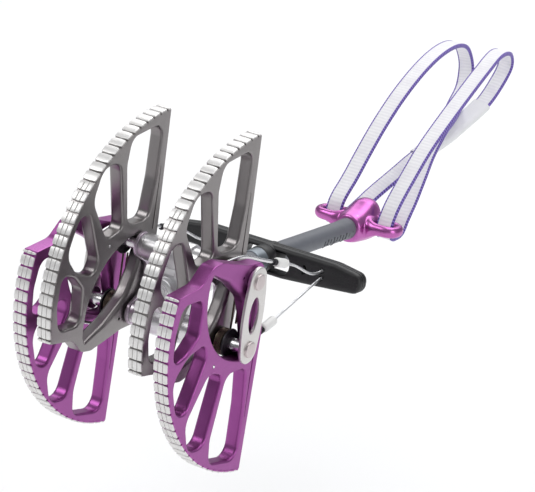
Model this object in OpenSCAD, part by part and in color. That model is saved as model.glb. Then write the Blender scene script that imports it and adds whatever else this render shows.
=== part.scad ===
// Spring loaded camming device: four cams on two axles, opened by springs and drawn back by a trigger.
// X runs along the axles, +Y runs from the cams to the thumb piece, +Z is up.
// The origin is midway between the two axles, at the middle of the head.

/* [Axles] */
// Distance between the upper and lower axle
axle_gap = 31.1; // [30:0.1:32]
// Axle radius
axle_r = 3; // [2.8:0.05:3.1]
// Distance from the middle to each rivet face
axle_half = 43.8; // [43.4:0.1:45]

/* [Cams] */
// Distance from the middle to the centre of an inner cam
inner_cam_x = 23.55; // [23.4:0.05:23.7]
// Distance from the middle to the centre of an outer cam
outer_cam_x = 36.45; // [36.3:0.05:36.6]
// Thickness of a cam
cam_w = 6.9; // [6.5:0.1:7]
// Radius of the cam curve straight above its pivot
cam_r = 90.1; // [89.5:0.1:90.5]
// Camming angle of the spiral
cam_angle = 13.75; // [13.5:0.05:14]
// Distance from one row of teeth to the next
row_pitch = 5.27; // [5:0.01:5.6]
// Depth of the grooves between tooth rows
groove_d = 1.0; // [0.6:0.1:1.3]
// Width of the grooves between tooth rows
groove_w = 1.0; // [0.5:0.1:1.6]

/* [Plates] */
// Half length of a barrel-shaped plate past each axle
plate_end_r = 6.7; // [6.4:0.1:7]
// Half width of a plate at its middle
plate_mid_w = 8.3; // [8:0.1:9]
// Thickness of a plate
plate_t = 1.6; // [1.4:0.1:1.8]
// Inner face of the outer plates
outer_plate_x = 41; // [41:0.1:41.4]
// Inner face of the inner plates
inner_plate_x = 17.6; // [17:0.1:17.8]

/* [Stem] */
// Radius of the stem cable
cable_r = 2.5; // [2.2:0.1:2.7]
// Outer radius of the stem sheath
sheath_r = 5; // [4.8:0.05:5.2]
// Rear end of the sheath
sheath_end = 162; // [160:0.5:163]

/* [Trigger] */
// Half span of the trigger bar
trigger_half = 50.5; // [48:0.5:52]
// Front face of the trigger bar
trigger_y = 80.5; // [80:0.5:82]
// Depth of the trigger bar
trigger_d = 8; // [7:0.5:8.5]
// Distance of the cable holes from the middle
wire_x = 30; // [29.8:0.1:30.2]

/* [Wires] */
// Radius of the steel rods
rod_r = 0.8; // [0.7:0.05:0.85]
// Radius of the ferrules
ferrule_r = 2.2; // [2:0.1:2.4]
// Radius of the trigger cables
wire_r = 0.65; // [0.5:0.05:0.75]

/* [Springs] */
// Outer radius of a spring coil
coil_r = 6.2; // [6:0.1:6.3]
// Inner radius of a spring coil
coil_bore = 4.4; // [4.3:0.1:4.6]

/* [Sling] */
// Width of the webbing
web_strap_w = 8.5; // [8:0.1:8.6]
// Thickness of the webbing
web_strap_t = 2; // [1.6:0.1:2.1]

/* [Hidden] */
$fn = 64;

axle_z = axle_gap / 2;
run_gap = 0.05;               // running clearance on a radius
side_gap = 0.1;               // side clearance between neighbours on an axle

// the cam, in its own plane: p runs forward, q runs from the pivot to the tip
tip_angle = -7.3;
heel_angle = 93.6;
pin_p = 23.9;                 // place of the rod's hole
pin_q = 34.35;
leg_p = 8.6;                  // place of the spring leg's hole
leg_q = -2.5;
leg_r = 0.7;
slot_r = 36;                  // outer radius of the slot for the other axle
slot_from = 99;
slot_to = 6;
first_row = 2.1;              // length of the short row at the heel

// each corner is [p, q, rounding radius]
back_edge = [[-11.8, 92.2, 0], [-13.8, 27, 8], [-9.5, 2, 6], [-6.9, -7.3, 5]];
underside = [[6, -8, 20], [28.2, -13.3, 6], [35.2, -12.5, 6], [43.2, -5.5, 8], [60, -4.2, 0]];
windows = [
    [[-7.7, 86, 6], [16.2, 82, 6], [17.8, 70, 12], [11.4, 41.2, 6], [-5, 41.2, 5], [-7.5, 60, 20]],
    [[22.8, 72.2, 6], [35.6, 71.3, 8], [40.6, 57, 8], [26.4, 37, 6], [14.4, 40.4, 4]],
    [[41.8, 53, 5], [49.8, 50.5, 6], [55.6, 35, 8], [46.4, 25.4, 12], [33, 22, 4], [30.4, 29, 5]],
    [[47, 24.2, 10], [57.4, 27.4, 4], [58.4, 13, 12], [55.4, 0.8, 6], [38.6, 0.8, 5], [39.4, 17.5, 6]]
];
slot_inner = [
    [-5.2, 36, 4], [-4.6, 29.5, 3], [0.2, 17.5, 20], [5, 7.8, 16], [18, -1.4, 20], [34, -9, 1.2]
];

// the trigger bar's outline, seen from the front: [x, z, rounding radius]
trigger_outline = [
    [-trigger_half, -5, 4.4], [-trigger_half, 4, 4.4], [-36, 6.2, 25], [36, 6.2, 25],
    [trigger_half, 4, 4.4], [trigger_half, -5, 4.4], [28, -7.2, 30], [9, -8.8, 8],
    [-9, -8.8, 8], [-28, -7.2, 30]
];
trigger_opening = [[-12.5, -6.9, 5], [-12.5, 4, 5], [12.5, 4, 5], [12.5, -6.9, 5]];
trigger_hub_r = 6.2;
wire_hole_z = [1.3, -2.3];
wire_hole_r = 1.1;

// rod, ferrule and cable routes in the plane of the wires: [y, z]
inner_rod = [
    [-23.9, 18.8], [-18.5, 20.6], [-12, 22.3], [-4, 22.9], [4, 22.7], [12, 21.1], [22, 18], [33, 14.9]
];
inner_cable = [[45, 11.8], [49, 10.7], [54, 9], [60, 6.4], [66, 3.6], [72, 1.6], [77, 1], [80.5, 1.3]];
outer_rod = [
    [-23.9, -18.8], [-18.5, -20.6], [-12, -22.3], [-4, -22.9], [4, -22.7], [12, -21.6], [21, -19.6],
    [30, -17.4]
];
outer_cable = [[42, -14.2], [50, -11.7], [58, -9.2], [66, -6.7], [73, -4.5], [80.5, -2.3]];

oval_round = 1.08;            // an eight-sided oval is this much wider than the round one it stands for

// the webbing's centre line, from the left eye round both loops and back
sling_route = [
    [-15, 170.6, 0], [-15, 171, 5], [-15, 174, 10.5], [-15, 183, 19], [-15, 194, 31], [-15, 206, 43],
    [-15, 222, 56], [-15, 240, 67], [-15, 258, 74.5], [-15, 275, 77.5], [-15, 288, 75], [-14, 295, 66],
    [-12, 293, 57], [-8.5, 284, 52.5], [-3.5, 268, 49], [3, 249, 46], [6.5, 232, 41], [9, 217, 31.5],
    [11.5, 206, 22], [13, 197, 12], [14, 189, 4], [14.5, 184, -2], [14.5, 178, -3.6], [14.5, 173, -3],
    [14.5, 170.6, 0], [14.5, 171, 5], [14.5, 176, 13.5], [14.5, 187, 25], [14.5, 201, 38], [14.5, 218, 50],
    [14, 239, 62.5], [13.5, 257, 72.5], [13, 271, 79], [12.5, 283, 78.5], [12, 288, 71], [11, 282, 61],
    [10, 271, 51.5], [6.5, 258, 42.5], [3.5, 243, 34.5], [-1, 227, 27], [-5, 213, 18], [-9.5, 201, 9],
    [-13, 191, 1], [-15, 184, -2.8], [-15, 178, -3.6], [-15, 173, -3]
];

// radius of the cam curve at an angle from the tip direction
function cam_radius(a) = cam_r * exp(-tan(cam_angle) * a * PI / 180);
function cam_point(a, depth) = [(cam_radius(a) - depth) * sin(a), (cam_radius(a) - depth) * cos(a)];
// the angle reached by going a distance along the cam curve from the heel
function edge_angle(heel_r, distance) =
    -ln((heel_r + distance * sin(cam_angle)) / cam_r) / tan(cam_angle) * 180 / PI;

// a polygon's corners rounded, each by its own radius
function unit(v) = v / norm(v);
function corner(before, at, after, r, steps) =
    let (u = unit(before - at), w = unit(after - at), half = acos(u * w) / 2)
    let (cut = r / tan(half), middle = at + unit(u + w) * r / sin(half))
    let (from = at + u * cut - middle, to = at + w * cut - middle)
    let (a0 = atan2(from[1], from[0]), turn = atan2(to[1], to[0]) - a0)
    let (sweep = turn > 180 ? turn - 360 : turn < -180 ? turn + 360 : turn)
    [for (i = [0:steps]) middle + r * [cos(a0 + sweep * i / steps), sin(a0 + sweep * i / steps)]];
function flat(c) = [c[0], c[1]];
function rounded(list, steps = 5) = [
    for (i = [0:len(list) - 1])
        let (n = len(list), at = list[i])
        let (before = flat(list[(i + n - 1) % n]), after = flat(list[(i + 1) % n]))
        each at[2] == 0 ? [flat(at)] : corner(before, flat(at), after, at[2], steps)
];

// a closed tube with an oval section, swept along an open or closed route; its width lies along X
function across(t) = unit([1, 0, 0] - t[0] * t);
function oval(at, t, w, h, sides) =
    let (x = across(t), y = cross(t, x))
    [for (k = [0:sides - 1]) let (a = 360 * (k + 0.5) / sides) at + x * w * cos(a) + y * h * sin(a)];
module swept(points, w, h, closed = false, sides = 8) {
    n = len(points);
    near = closed ? [for (i = [0:n - 1]) points[(i + 1) % n] - points[(i + n - 1) % n]]
                  : [for (i = [0:n - 1]) points[min(i + 1, n - 1)] - points[max(i - 1, 0)]];
    rings = [for (i = [0:n - 1]) each oval(points[i], unit(near[i]), w, h, sides)];
    walls = [for (i = [0:closed ? n - 1 : n - 2], k = [0:sides - 1])
        let (a = i * sides + k, b = i * sides + (k + 1) % sides)
        let (c = ((i + 1) % n) * sides + (k + 1) % sides, d = ((i + 1) % n) * sides + k)
        each [[a, c, b], [a, d, c]]];
    ends = closed ? [] : [
        [for (k = [0:sides - 1]) k],
        [for (k = [sides - 1:-1:0]) (n - 1) * sides + k]
    ];
    polyhedron(rings, concat(walls, ends));
}

// extrudes an outline drawn in Y and Z along X, from one place to another
module along_x(from, to) translate([from, 0, 0]) rotate([90, 0, 90]) linear_extrude(to - from) children();
// extrudes an outline drawn in X and Z along Y
module along_y(from, to) translate([0, to, 0]) rotate([90, 0, 0]) linear_extrude(to - from) children();
module rod_x(from, to, r) translate([from, 0, 0]) rotate([0, 90, 0]) cylinder(r = r, h = to - from);
module rod_y(from, to, r1, r2)
    translate([0, from, 0]) rotate([-90, 0, 0]) cylinder(r1 = r1, r2 = r2, h = to - from);
module ring_x(from, to, r, bore) {
    difference() {
        rod_x(from, to, r);
        rod_x(from - 1, to + 1, bore);
    }
}
// both sides of the head, as two separate solids
module both_sides() {
    children();
    mirror([1, 0, 0]) children();
}

plate_eye_w = 3.7;             // half width of the eye in an outer plate
plate_eye_h = 8;
module barrel_outline() {
    bow = (pow(axle_z, 2) + pow(plate_mid_w - plate_end_r, 2)) / 2 / (plate_mid_w - plate_end_r);
    for (s = [-1, 1]) translate([0, s * axle_z]) circle(r = plate_end_r);
    intersection() {
        translate([bow - plate_mid_w, 0]) circle(r = bow, $fn = 256);
        translate([plate_mid_w - bow, 0]) circle(r = bow, $fn = 256);
        square([3 * plate_mid_w, axle_gap], center = true);
    }
}
module outer_plate() {
    along_x(outer_plate_x, outer_plate_x + plate_t) difference() {
        barrel_outline();
        for (s = [-1, 1]) translate([0, s * axle_z]) circle(r = axle_r);
        for (s = [-1, 1]) translate([0, s * (plate_eye_h - plate_eye_w)]) circle(r = plate_eye_w);
        square([2 * plate_eye_w, 2 * (plate_eye_h - plate_eye_w)], center = true);
    }
}
module left_side_plate() color("gainsboro") mirror([1, 0, 0]) outer_plate();
module right_side_plate() color("gainsboro") outer_plate();
// an inner plate: an eye round each axle, joined by a link that bends back round the stem
inner_eye_r = 6.2;
inner_link = [
    [-4.4, 11.2, 0], [5, 6.2, 5], [5, -6.2, 5], [-4.4, -11.2, 0],
    [1, -21.5, 0], [13, -8, 5], [13, 8, 5], [1, 21.5, 0]
];
module inner_plate() {
    along_x(inner_plate_x, inner_plate_x + plate_t) difference() {
        union() {
            for (s = [-1, 1]) translate([0, s * axle_z]) circle(r = inner_eye_r);
            polygon(rounded(inner_link));
        }
        for (s = [-1, 1]) translate([0, s * axle_z]) circle(r = axle_r);
    }
}
module left_inner_plate() color("lightgray") mirror([1, 0, 0]) inner_plate();
module right_inner_plate() color("lightgray") inner_plate();

module axle(z) {
    dome = 0.8;
    translate([0, 0, z]) {
        rod_x(-axle_half + dome, axle_half - dome, axle_r);
        for (s = [-1, 1]) translate([s * (axle_half - dome), 0, 0]) rotate([0, s * 90, 0])
            cylinder(r1 = axle_r, r2 = axle_r - dome, h = dome);
    }
}
module upper_axle() color("silver") axle(axle_z);
module lower_axle() color("silver") axle(-axle_z);

// the block that ties both axles to the stem cable
terminal_half = 9;
terminal_front = -8;
socket_end = 30;
module head_terminal() {
    color("silver") difference() {
        union() {
            along_x(-terminal_half, terminal_half) {
                for (s = [-1, 1]) translate([0, s * axle_z]) circle(r = 7.4);
                translate([-2, 0]) square([2 * -terminal_front - 4, axle_gap], center = true);
            }
            rod_y(terminal_front - 3, 0, 6.4, 7.4);
            rod_y(0, socket_end, 7.4, 6.2);
        }
        for (s = [-1, 1]) translate([0, 0, s * axle_z]) rod_x(-20, 20, axle_r);
        rod_y(terminal_front - 4, socket_end + 1, cable_r, cable_r);
        for (s = [-1, 1], z = [-9.5, 9.5]) translate([s * terminal_half, 0, z]) rotate([90, 0, 0])
            cylinder(r = 1.6, h = 40, center = true);
    }
}
module stem_cable() color("silver") rod_y(terminal_front - 2.5, 166, cable_r, cable_r);
module stem_sheath() {
    flare_from = 150;
    color("dimgray") difference() {
        union() {
            rod_y(socket_end + 0.1, flare_from, sheath_r, sheath_r);
            rod_y(flare_from, sheath_end, sheath_r, sheath_r + 0.6);
        }
        rod_y(0, sheath_end + 1, cable_r, cable_r);
    }
}
module stem_ferrule() {
    color("silver") difference() {
        rod_y(sheath_end, 169, 4.6, 4.6);
        rod_y(sheath_end - 1, 166, cable_r, cable_r);
    }
}

module spacer_pair(z, from, to, r) {
    both_sides() translate([0, 0, z]) ring_x(from, to, r, axle_r);
}
module upper_spacers() color("silver") spacer_pair(axle_z, terminal_half, inner_plate_x, 6);
module lower_spacers() color("silver") spacer_pair(-axle_z, terminal_half, inner_plate_x, 6);
sleeve_from = inner_cam_x + cam_w / 2 + side_gap;
sleeve_to = outer_cam_x - cam_w / 2 - side_gap;
module upper_sleeves() color("gray") spacer_pair(axle_z, sleeve_from, sleeve_to, coil_bore - 0.3);
module lower_sleeves() color("gray") spacer_pair(-axle_z, sleeve_from, sleeve_to, coil_bore - 0.3);
module plate_washers() {
    from = outer_cam_x + cam_w / 2 + side_gap;
    color("silver") for (z = [-axle_z, axle_z]) spacer_pair(z, from, outer_plate_x, 5.4);
}

// a torsion spring: its coil, a long leg that reaches past the other axle's spring, and a short leg
// that turns into its cam
long_leg = 23.5;
leg_bite = 1.5;               // depth of the short leg in the cam
module spring(side, lower) {
    coil_from = sleeve_from + 0.4;
    coil_to = sleeve_to - 0.4;
    near_x = lower ? coil_from + leg_r : coil_to - leg_r;
    far_x = lower ? inner_cam_x + cam_w / 2 - leg_bite : outer_cam_x - cam_w / 2 + leg_bite;
    mirror([side < 0 ? 1 : 0, 0, 0]) mirror([0, 0, lower ? 0 : 1]) translate([0, 0, -axle_z]) {
        ring_x(coil_from, coil_to, coil_r, coil_bore);
        translate([near_x + (lower ? leg_r : -leg_r), coil_r - leg_r - 0.2, 0])
            cylinder(r = leg_r, h = long_leg, $fn = 24);
        translate([0, -leg_p, leg_q]) rod_x(min(near_x, far_x), max(near_x, far_x), leg_r, $fn = 24);
        translate([near_x, -leg_p, leg_q]) rotate([-90, 0, 0])
            cylinder(r = leg_r, h = leg_p - coil_bore - 0.4, $fn = 24);
    }
}
module spring_inner_left() color("slategray") spring(-1, true);
module spring_inner_right() color("slategray") spring(1, true);
module spring_outer_left() color("slategray") spring(-1, false);
module spring_outer_right() color("slategray") spring(1, false);

// the cam's outline in its own plane, with grooves between the tooth rows
module cam_outline() {
    heel_r = cam_radius(heel_angle);
    length = (cam_radius(tip_angle) - heel_r) / sin(cam_angle);
    grooves = [for (at = [first_row:row_pitch:length - row_pitch / 2])
        let (a = edge_angle(heel_r, at - groove_w / 2), b = edge_angle(heel_r, at + groove_w / 2))
        each [cam_point(a, 0), cam_point(a, groove_d), cam_point(b, groove_d), cam_point(b, 0)]];
    edge = concat([cam_point(heel_angle, 0)], grooves);
    polygon(rounded(concat([for (p = edge) [p[0], p[1], 0]], back_edge, underside)));
}
module cam_slot() {
    arc = [for (i = [0:24])
        let (a = slot_from + (slot_to - slot_from) * i / 24)
        [slot_r * sin(a), slot_r * cos(a), 0]];
    polygon(rounded(concat(arc, slot_inner)));
}
module cam_solid(x) {
    from = x - cam_w / 2;
    to = x + cam_w / 2;
    difference() {
        along_x(from, to) mirror([1, 0]) difference() {
            cam_outline();
            for (w = windows) polygon(rounded(w));
            cam_slot();
        }
        rod_x(from - 1, to + 1, axle_r + run_gap);
        translate([0, -pin_p, pin_q]) rod_x(from - 1, to + 1, rod_r + run_gap, $fn = 32);
        translate([0, -leg_p, leg_q]) rod_x(from - 1, to + 1, leg_r + run_gap, $fn = 32);
    }
}
module inner_cam(x) translate([0, 0, -axle_z]) cam_solid(x);
module outer_cam(x) mirror([0, 0, 1]) translate([0, 0, -axle_z]) cam_solid(x);
module cam_inner_left() color([0.42, 0.41, 0.42]) inner_cam(-inner_cam_x);
module cam_inner_right() color([0.42, 0.41, 0.42]) inner_cam(inner_cam_x);
module cam_outer_left() color([0.55, 0.22, 0.5]) outer_cam(-outer_cam_x);
module cam_outer_right() color([0.55, 0.22, 0.5]) outer_cam(outer_cam_x);

// trigger wires, each in the plane x = wire_x or its mirror image
function in_plane(side, list) = [for (p = list) [side * wire_x, p[0], p[1]]];
module rod(side, list, cam_x) {
    reach = cam_x > wire_x ? cam_x + cam_w / 2 + 0.3 : cam_x - cam_w / 2 - 0.3;
    low = min(reach, wire_x);
    high = max(reach, wire_x);
    swept(in_plane(side, list), rod_r, rod_r);
    mirror([side < 0 ? 1 : 0, 0, 0]) translate([0, -pin_p, sign(list[0][1]) * (pin_q - axle_z)])
        rod_x(low, high, rod_r, $fn = 32);
}
module rod_inner_left() color("silver") rod(-1, inner_rod, inner_cam_x);
module rod_inner_right() color("silver") rod(1, inner_rod, inner_cam_x);
module rod_outer_left() color("silver") rod(-1, outer_rod, outer_cam_x);
module rod_outer_right() color("silver") rod(1, outer_rod, outer_cam_x);

// a short straight sleeve between two points of the plane of the wires
module sleeve_between(side, from, to, r) {
    run = to - from;
    translate([side * wire_x, from[0], from[1]]) rotate([-90 + atan2(run[1], run[0]), 0, 0])
        cylinder(r = r, h = norm(run));
}
module collar_at(side, list, next) {
    n = len(list);
    lead = list[n - 1];
    heading = unit(next[0] - lead);
    sleeve_between(side, lead, lead + heading * 2.4, ferrule_r - 0.4);
}
module ferrule_at(side, list, next) {
    lead = list[len(list) - 1];
    heading = unit(next[0] - lead);
    sleeve_between(side, lead + heading * 2.4, next[0], ferrule_r);
}
module collar_inner_left() color("dimgray") collar_at(-1, inner_rod, inner_cable);
module collar_inner_right() color("dimgray") collar_at(1, inner_rod, inner_cable);
module collar_outer_left() color("dimgray") collar_at(-1, outer_rod, outer_cable);
module collar_outer_right() color("dimgray") collar_at(1, outer_rod, outer_cable);
module ferrule_inner_left() color("white") ferrule_at(-1, inner_rod, inner_cable);
module ferrule_inner_right() color("white") ferrule_at(1, inner_rod, inner_cable);
module ferrule_outer_left() color("white") ferrule_at(-1, outer_rod, outer_cable);
module ferrule_outer_right() color("white") ferrule_at(1, outer_rod, outer_cable);
module cable_inner_left() color("silver") swept(in_plane(-1, inner_cable), wire_r, wire_r);
module cable_inner_right() color("silver") swept(in_plane(1, inner_cable), wire_r, wire_r);
module cable_outer_left() color("silver") swept(in_plane(-1, outer_cable), wire_r, wire_r);
module cable_outer_right() color("silver") swept(in_plane(1, outer_cable), wire_r, wire_r);

// the short end of the trigger cable that turns round behind the bar
module cable_loop(side) {
    back = trigger_y + trigger_d;
    high = wire_hole_z[0];
    low = wire_hole_z[1];
    front = trigger_y + 0.5;
    turn = [[front, high], [back - 1, high], [back + 0.8, high - 0.3], [back + 1.6, (high + low) / 2],
            [back + 0.8, low + 0.3], [back - 1, low], [front, low]];
    swept(in_plane(side, turn), wire_r, wire_r);
}
module left_cable_loop() color("silver") cable_loop(-1);
module right_cable_loop() color("silver") cable_loop(1);

module trigger_bar() {
    back = trigger_y + trigger_d;
    color([0.13, 0.13, 0.14]) difference() {
        union() {
            along_y(trigger_y, back) difference() {
                polygon(rounded(trigger_outline));
                polygon(rounded(trigger_opening));
                for (s = [-1, 1]) translate([s * 20.6, -0.6]) {
                    translate([0, 1.4]) circle(r = 0.9, $fn = 24);
                    translate([0, -1.4]) circle(r = 0.9, $fn = 24);
                    square([1.8, 2.8], center = true);
                }
                for (s = [-1, 1], z = wire_hole_z) translate([s * wire_x, z])
                    circle(r = wire_hole_r, $fn = 32);
            }
            rod_y(trigger_y - 1, back, trigger_hub_r, trigger_hub_r);
        }
        rod_y(trigger_y - 2, back + 1, sheath_r + run_gap, sheath_r + run_gap);
    }
}
module trigger_sleeve() {
    front = 66;
    color("gray") difference() {
        union() {
            rod_y(front, front + 2, sheath_r + 0.5, trigger_hub_r + 0.3);
            rod_y(front + 2, trigger_y - 1, trigger_hub_r + 0.3, trigger_hub_r + 0.3);
        }
        rod_y(front - 1, trigger_y, sheath_r + run_gap, sheath_r + run_gap);
    }
}

// the thumb piece: a hub round the sheath's end, an eye on each side and an upright saddle behind
eye_half = 3;
eye_z = 2;
eye_outline = [
    [-23.8, 164, 6], [-23.8, 178, 6], [23.8, 178, 6], [23.8, 164, 6], [13, 162, 8], [-13, 162, 8]
];
eye_hole = [[9, 166.4, 3.3], [9, 173.6, 3.3], [20, 173.6, 3.3], [20, 166.4, 3.3]];
saddle = [[-8.5, -8, 6], [-8.5, 13, 7], [8.5, 13, 7], [8.5, -8, 6]];
module thumb_piece() {
    color([0.78, 0.42, 0.7]) difference() {
        union() {
            translate([0, 0, eye_z - eye_half]) linear_extrude(2 * eye_half) difference() {
                polygon(rounded(eye_outline));
                for (s = [0, 1]) mirror([s, 0]) polygon(rounded(eye_hole));
            }
            rod_y(158, 172, 7, 8.6);
            along_y(172, 180.5) polygon(rounded(saddle));
        }
        rod_y(157, sheath_end, sheath_r + 0.6, sheath_r + 0.6);
        rod_y(sheath_end - 0.1, 169, 4.6, 4.6);
    }
}

// the webbing and the folded label sewn round its overlap
module sling() {
    half_w = web_strap_w / 2 * oval_round;
    half_t = web_strap_t / 2 * oval_round;
    color("whitesmoke") swept(sling_route, half_w, half_t, closed = true);
}
label_wall = 0.7;
label_gap = 0.6;
label_from = 36;
label_to = 39;
module sling_label() {
    covered = [for (i = [label_from:label_to]) sling_route[i]];
    bore_w = web_strap_w / 2 + label_gap;
    bore_t = web_strap_t / 2 + label_gap;
    color("white") difference() {
        swept(covered, bore_w + label_wall, bore_t + label_wall);
        swept(covered, bore_w, bore_t);
    }
}

stem_cable();
stem_sheath();
stem_ferrule();
head_terminal();
upper_axle();
lower_axle();
left_side_plate();
right_side_plate();
left_inner_plate();
right_inner_plate();
upper_spacers();
lower_spacers();
upper_sleeves();
lower_sleeves();
plate_washers();
spring_inner_left();
spring_inner_right();
spring_outer_left();
spring_outer_right();
thumb_piece();
sling();
sling_label();
trigger_bar();
trigger_sleeve();
left_cable_loop();
right_cable_loop();
cam_inner_left();
cam_inner_right();
cam_outer_left();
cam_outer_right();
rod_inner_left();
rod_inner_right();
rod_outer_left();
rod_outer_right();
collar_inner_left();
collar_inner_right();
collar_outer_left();
collar_outer_right();
ferrule_inner_left();
ferrule_inner_right();
ferrule_outer_left();
ferrule_outer_right();
cable_inner_left();
cable_inner_right();
cable_outer_left();
cable_outer_right();
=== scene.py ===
from math import acos, atan2, copysign, cos, exp, hypot, log, pi, radians, sin, sqrt, tan, tau

import bmesh
import bpy
from mathutils import Matrix, Vector
from mathutils.geometry import tessellate_polygon


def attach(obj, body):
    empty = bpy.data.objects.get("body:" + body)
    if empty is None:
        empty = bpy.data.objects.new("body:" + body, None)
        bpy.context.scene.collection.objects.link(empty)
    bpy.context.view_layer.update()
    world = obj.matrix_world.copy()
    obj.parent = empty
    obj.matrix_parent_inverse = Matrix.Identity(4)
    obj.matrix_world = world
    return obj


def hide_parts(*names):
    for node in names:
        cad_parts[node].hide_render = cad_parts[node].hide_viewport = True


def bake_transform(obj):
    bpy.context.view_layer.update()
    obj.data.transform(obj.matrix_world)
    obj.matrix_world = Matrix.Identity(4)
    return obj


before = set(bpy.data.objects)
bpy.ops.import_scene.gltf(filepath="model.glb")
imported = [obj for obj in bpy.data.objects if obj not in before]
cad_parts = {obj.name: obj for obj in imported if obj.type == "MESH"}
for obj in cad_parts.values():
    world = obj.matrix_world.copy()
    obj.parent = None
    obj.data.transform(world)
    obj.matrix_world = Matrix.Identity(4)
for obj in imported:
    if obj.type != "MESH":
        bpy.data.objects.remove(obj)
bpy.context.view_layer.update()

# Sizes below are in millimetres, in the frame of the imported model:
# X along the axles, +Y from the cams to the thumb piece, +Z up.
MM = 0.001
SIDES = {"left": -1, "right": 1}


def add_object(name, data):
    made = bpy.data.objects.new(name, data)
    bpy.context.scene.collection.objects.link(made)
    return made


# ---- camera

def look_at_object():
    azimuth, elevation, roll = (radians(a) for a in (28.74, 16.49, 8.49))
    distance, shift_right, shift_up = 1.07414, 0.04184, 0.01903
    right = Vector((cos(azimuth), sin(azimuth), 0))
    back = Vector((sin(azimuth) * cos(elevation),
                   -cos(azimuth) * cos(elevation), sin(elevation)))
    up = back.cross(right)
    x_axis = right * cos(roll) + up * sin(roll)
    y_axis = -right * sin(roll) + up * cos(roll)
    place = back * distance + x_axis * shift_right + y_axis * shift_up
    data = bpy.data.cameras.new("camera")
    data.sensor_fit = "HORIZONTAL"
    data.sensor_width = 36
    data.lens = 164.05
    camera = add_object("camera", data)
    camera.matrix_world = Matrix((
        (x_axis.x, y_axis.x, back.x, place.x),
        (x_axis.y, y_axis.y, back.y, place.y),
        (x_axis.z, y_axis.z, back.z, place.z),
        (0, 0, 0, 1)))
    bpy.context.scene.camera = camera


look_at_object()


# ---- mesh building

class Shape:
    """Points in millimetres, faces, and the material number of each face."""

    def __init__(self):
        self.points, self.faces, self.inks = [], [], []

    def add(self, points, faces, ink=0):
        base = len(self.points)
        self.points += [Vector(p) for p in points]
        self.faces += [[base + i for i in face] for face in faces]
        self.inks += [ink] * len(faces)
        return base

    def loft(self, rings, ink=0, loop=False, caps=True):
        """Skins a row of closed rings that have equal numbers of points."""
        n, m = len(rings[0]), len(rings)
        faces = []
        for i in range(m if loop else m - 1):
            a, b = i * n, (i + 1) % m * n
            faces += [[a + k, a + (k + 1) % n, b + (k + 1) % n, b + k] for k in range(n)]
        if caps and not loop:
            faces += [list(range(n))[::-1], [(m - 1) * n + k for k in range(n)]]
        return self.add([p for ring in rings for p in ring], faces, ink)


def make(name, shape, sharp=35):
    mesh = bpy.data.meshes.new(name)
    mesh.from_pydata([p * MM for p in shape.points], [], shape.faces)
    mesh.polygons.foreach_set("material_index", shape.inks)
    sheet = bmesh.new()
    sheet.from_mesh(mesh)
    bmesh.ops.remove_doubles(sheet, verts=sheet.verts, dist=2e-7)
    bmesh.ops.recalc_face_normals(sheet, faces=sheet.faces)
    sheet.to_mesh(mesh)
    sheet.free()
    mesh.shade_smooth()
    mesh.set_sharp_from_angle(angle=radians(sharp))
    return add_object(name, mesh)


def paint(piece, slot, *materials):
    for material in materials:
        piece.data.materials.append(material)
    return piece


def weigh_normals(piece):
    """Keeps broad flat faces flat beside their rounded edges."""
    weigh = piece.modifiers.new("weigh", "WEIGHTED_NORMAL")
    weigh.keep_sharp = True
    weigh.weight = 90


def rounded(corners, steps=7):
    """A closed outline from [x, y, rounding radius] corners."""
    points = []
    for i, (x, y, r) in enumerate(corners):
        at = Vector((x, y))
        if not r:
            points.append(at)
            continue
        u = (Vector(corners[i - 1][:2]) - at).normalized()
        w = (Vector(corners[(i + 1) % len(corners)][:2]) - at).normalized()
        half = acos(max(-1, min(1, u.dot(w)))) / 2
        cut = r / tan(half)
        middle = at + (u + w).normalized() * r / sin(half)
        start, stop = at + u * cut - middle, at + w * cut - middle
        a0 = atan2(start.y, start.x)
        sweep = (atan2(stop.y, stop.x) - a0 + pi) % tau - pi
        points += [middle + r * Vector((cos(a0 + sweep * k / steps), sin(a0 + sweep * k / steps)))
                   for k in range(steps + 1)]
    return points


def unit_circle(count):
    return [(cos(tau * k / count), sin(tau * k / count)) for k in range(count)]


def circle(x, y, r, count=40):
    return [Vector((x + r * c, y + r * s)) for c, s in unit_circle(count)]


def turned(loop, anticlockwise):
    """The loop without repeated points, running the way that is asked."""
    clean = [p for i, p in enumerate(loop) if (p - loop[i - 1]).length > 0.004]
    area = sum(a.x * b.y - b.x * a.y for a, b in zip(clean, clean[1:] + clean[:1]))
    return clean if (area > 0) == anticlockwise else clean[::-1]


def pushed(loop, distance):
    """The loop moved to the right of its travel, which is out of the material.

    distance is a number, or turns each point into one."""
    if callable(distance):
        moves = [distance(at) for at in loop]
        return [at + (to - at).normalized() * move for at, to, move in zip(loop, pushed(loop, 1), moves)]
    out = []
    for i, at in enumerate(loop):
        before, after = loop[i - 1], loop[(i + 1) % len(loop)]
        first = Vector((at.y - before.y, before.x - at.x)).normalized()
        second = Vector((after.y - at.y, at.x - after.x)).normalized()
        out.append(at + (first + second) * distance / max(0.5, 1 + first.dot(second)))
    return out


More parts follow.
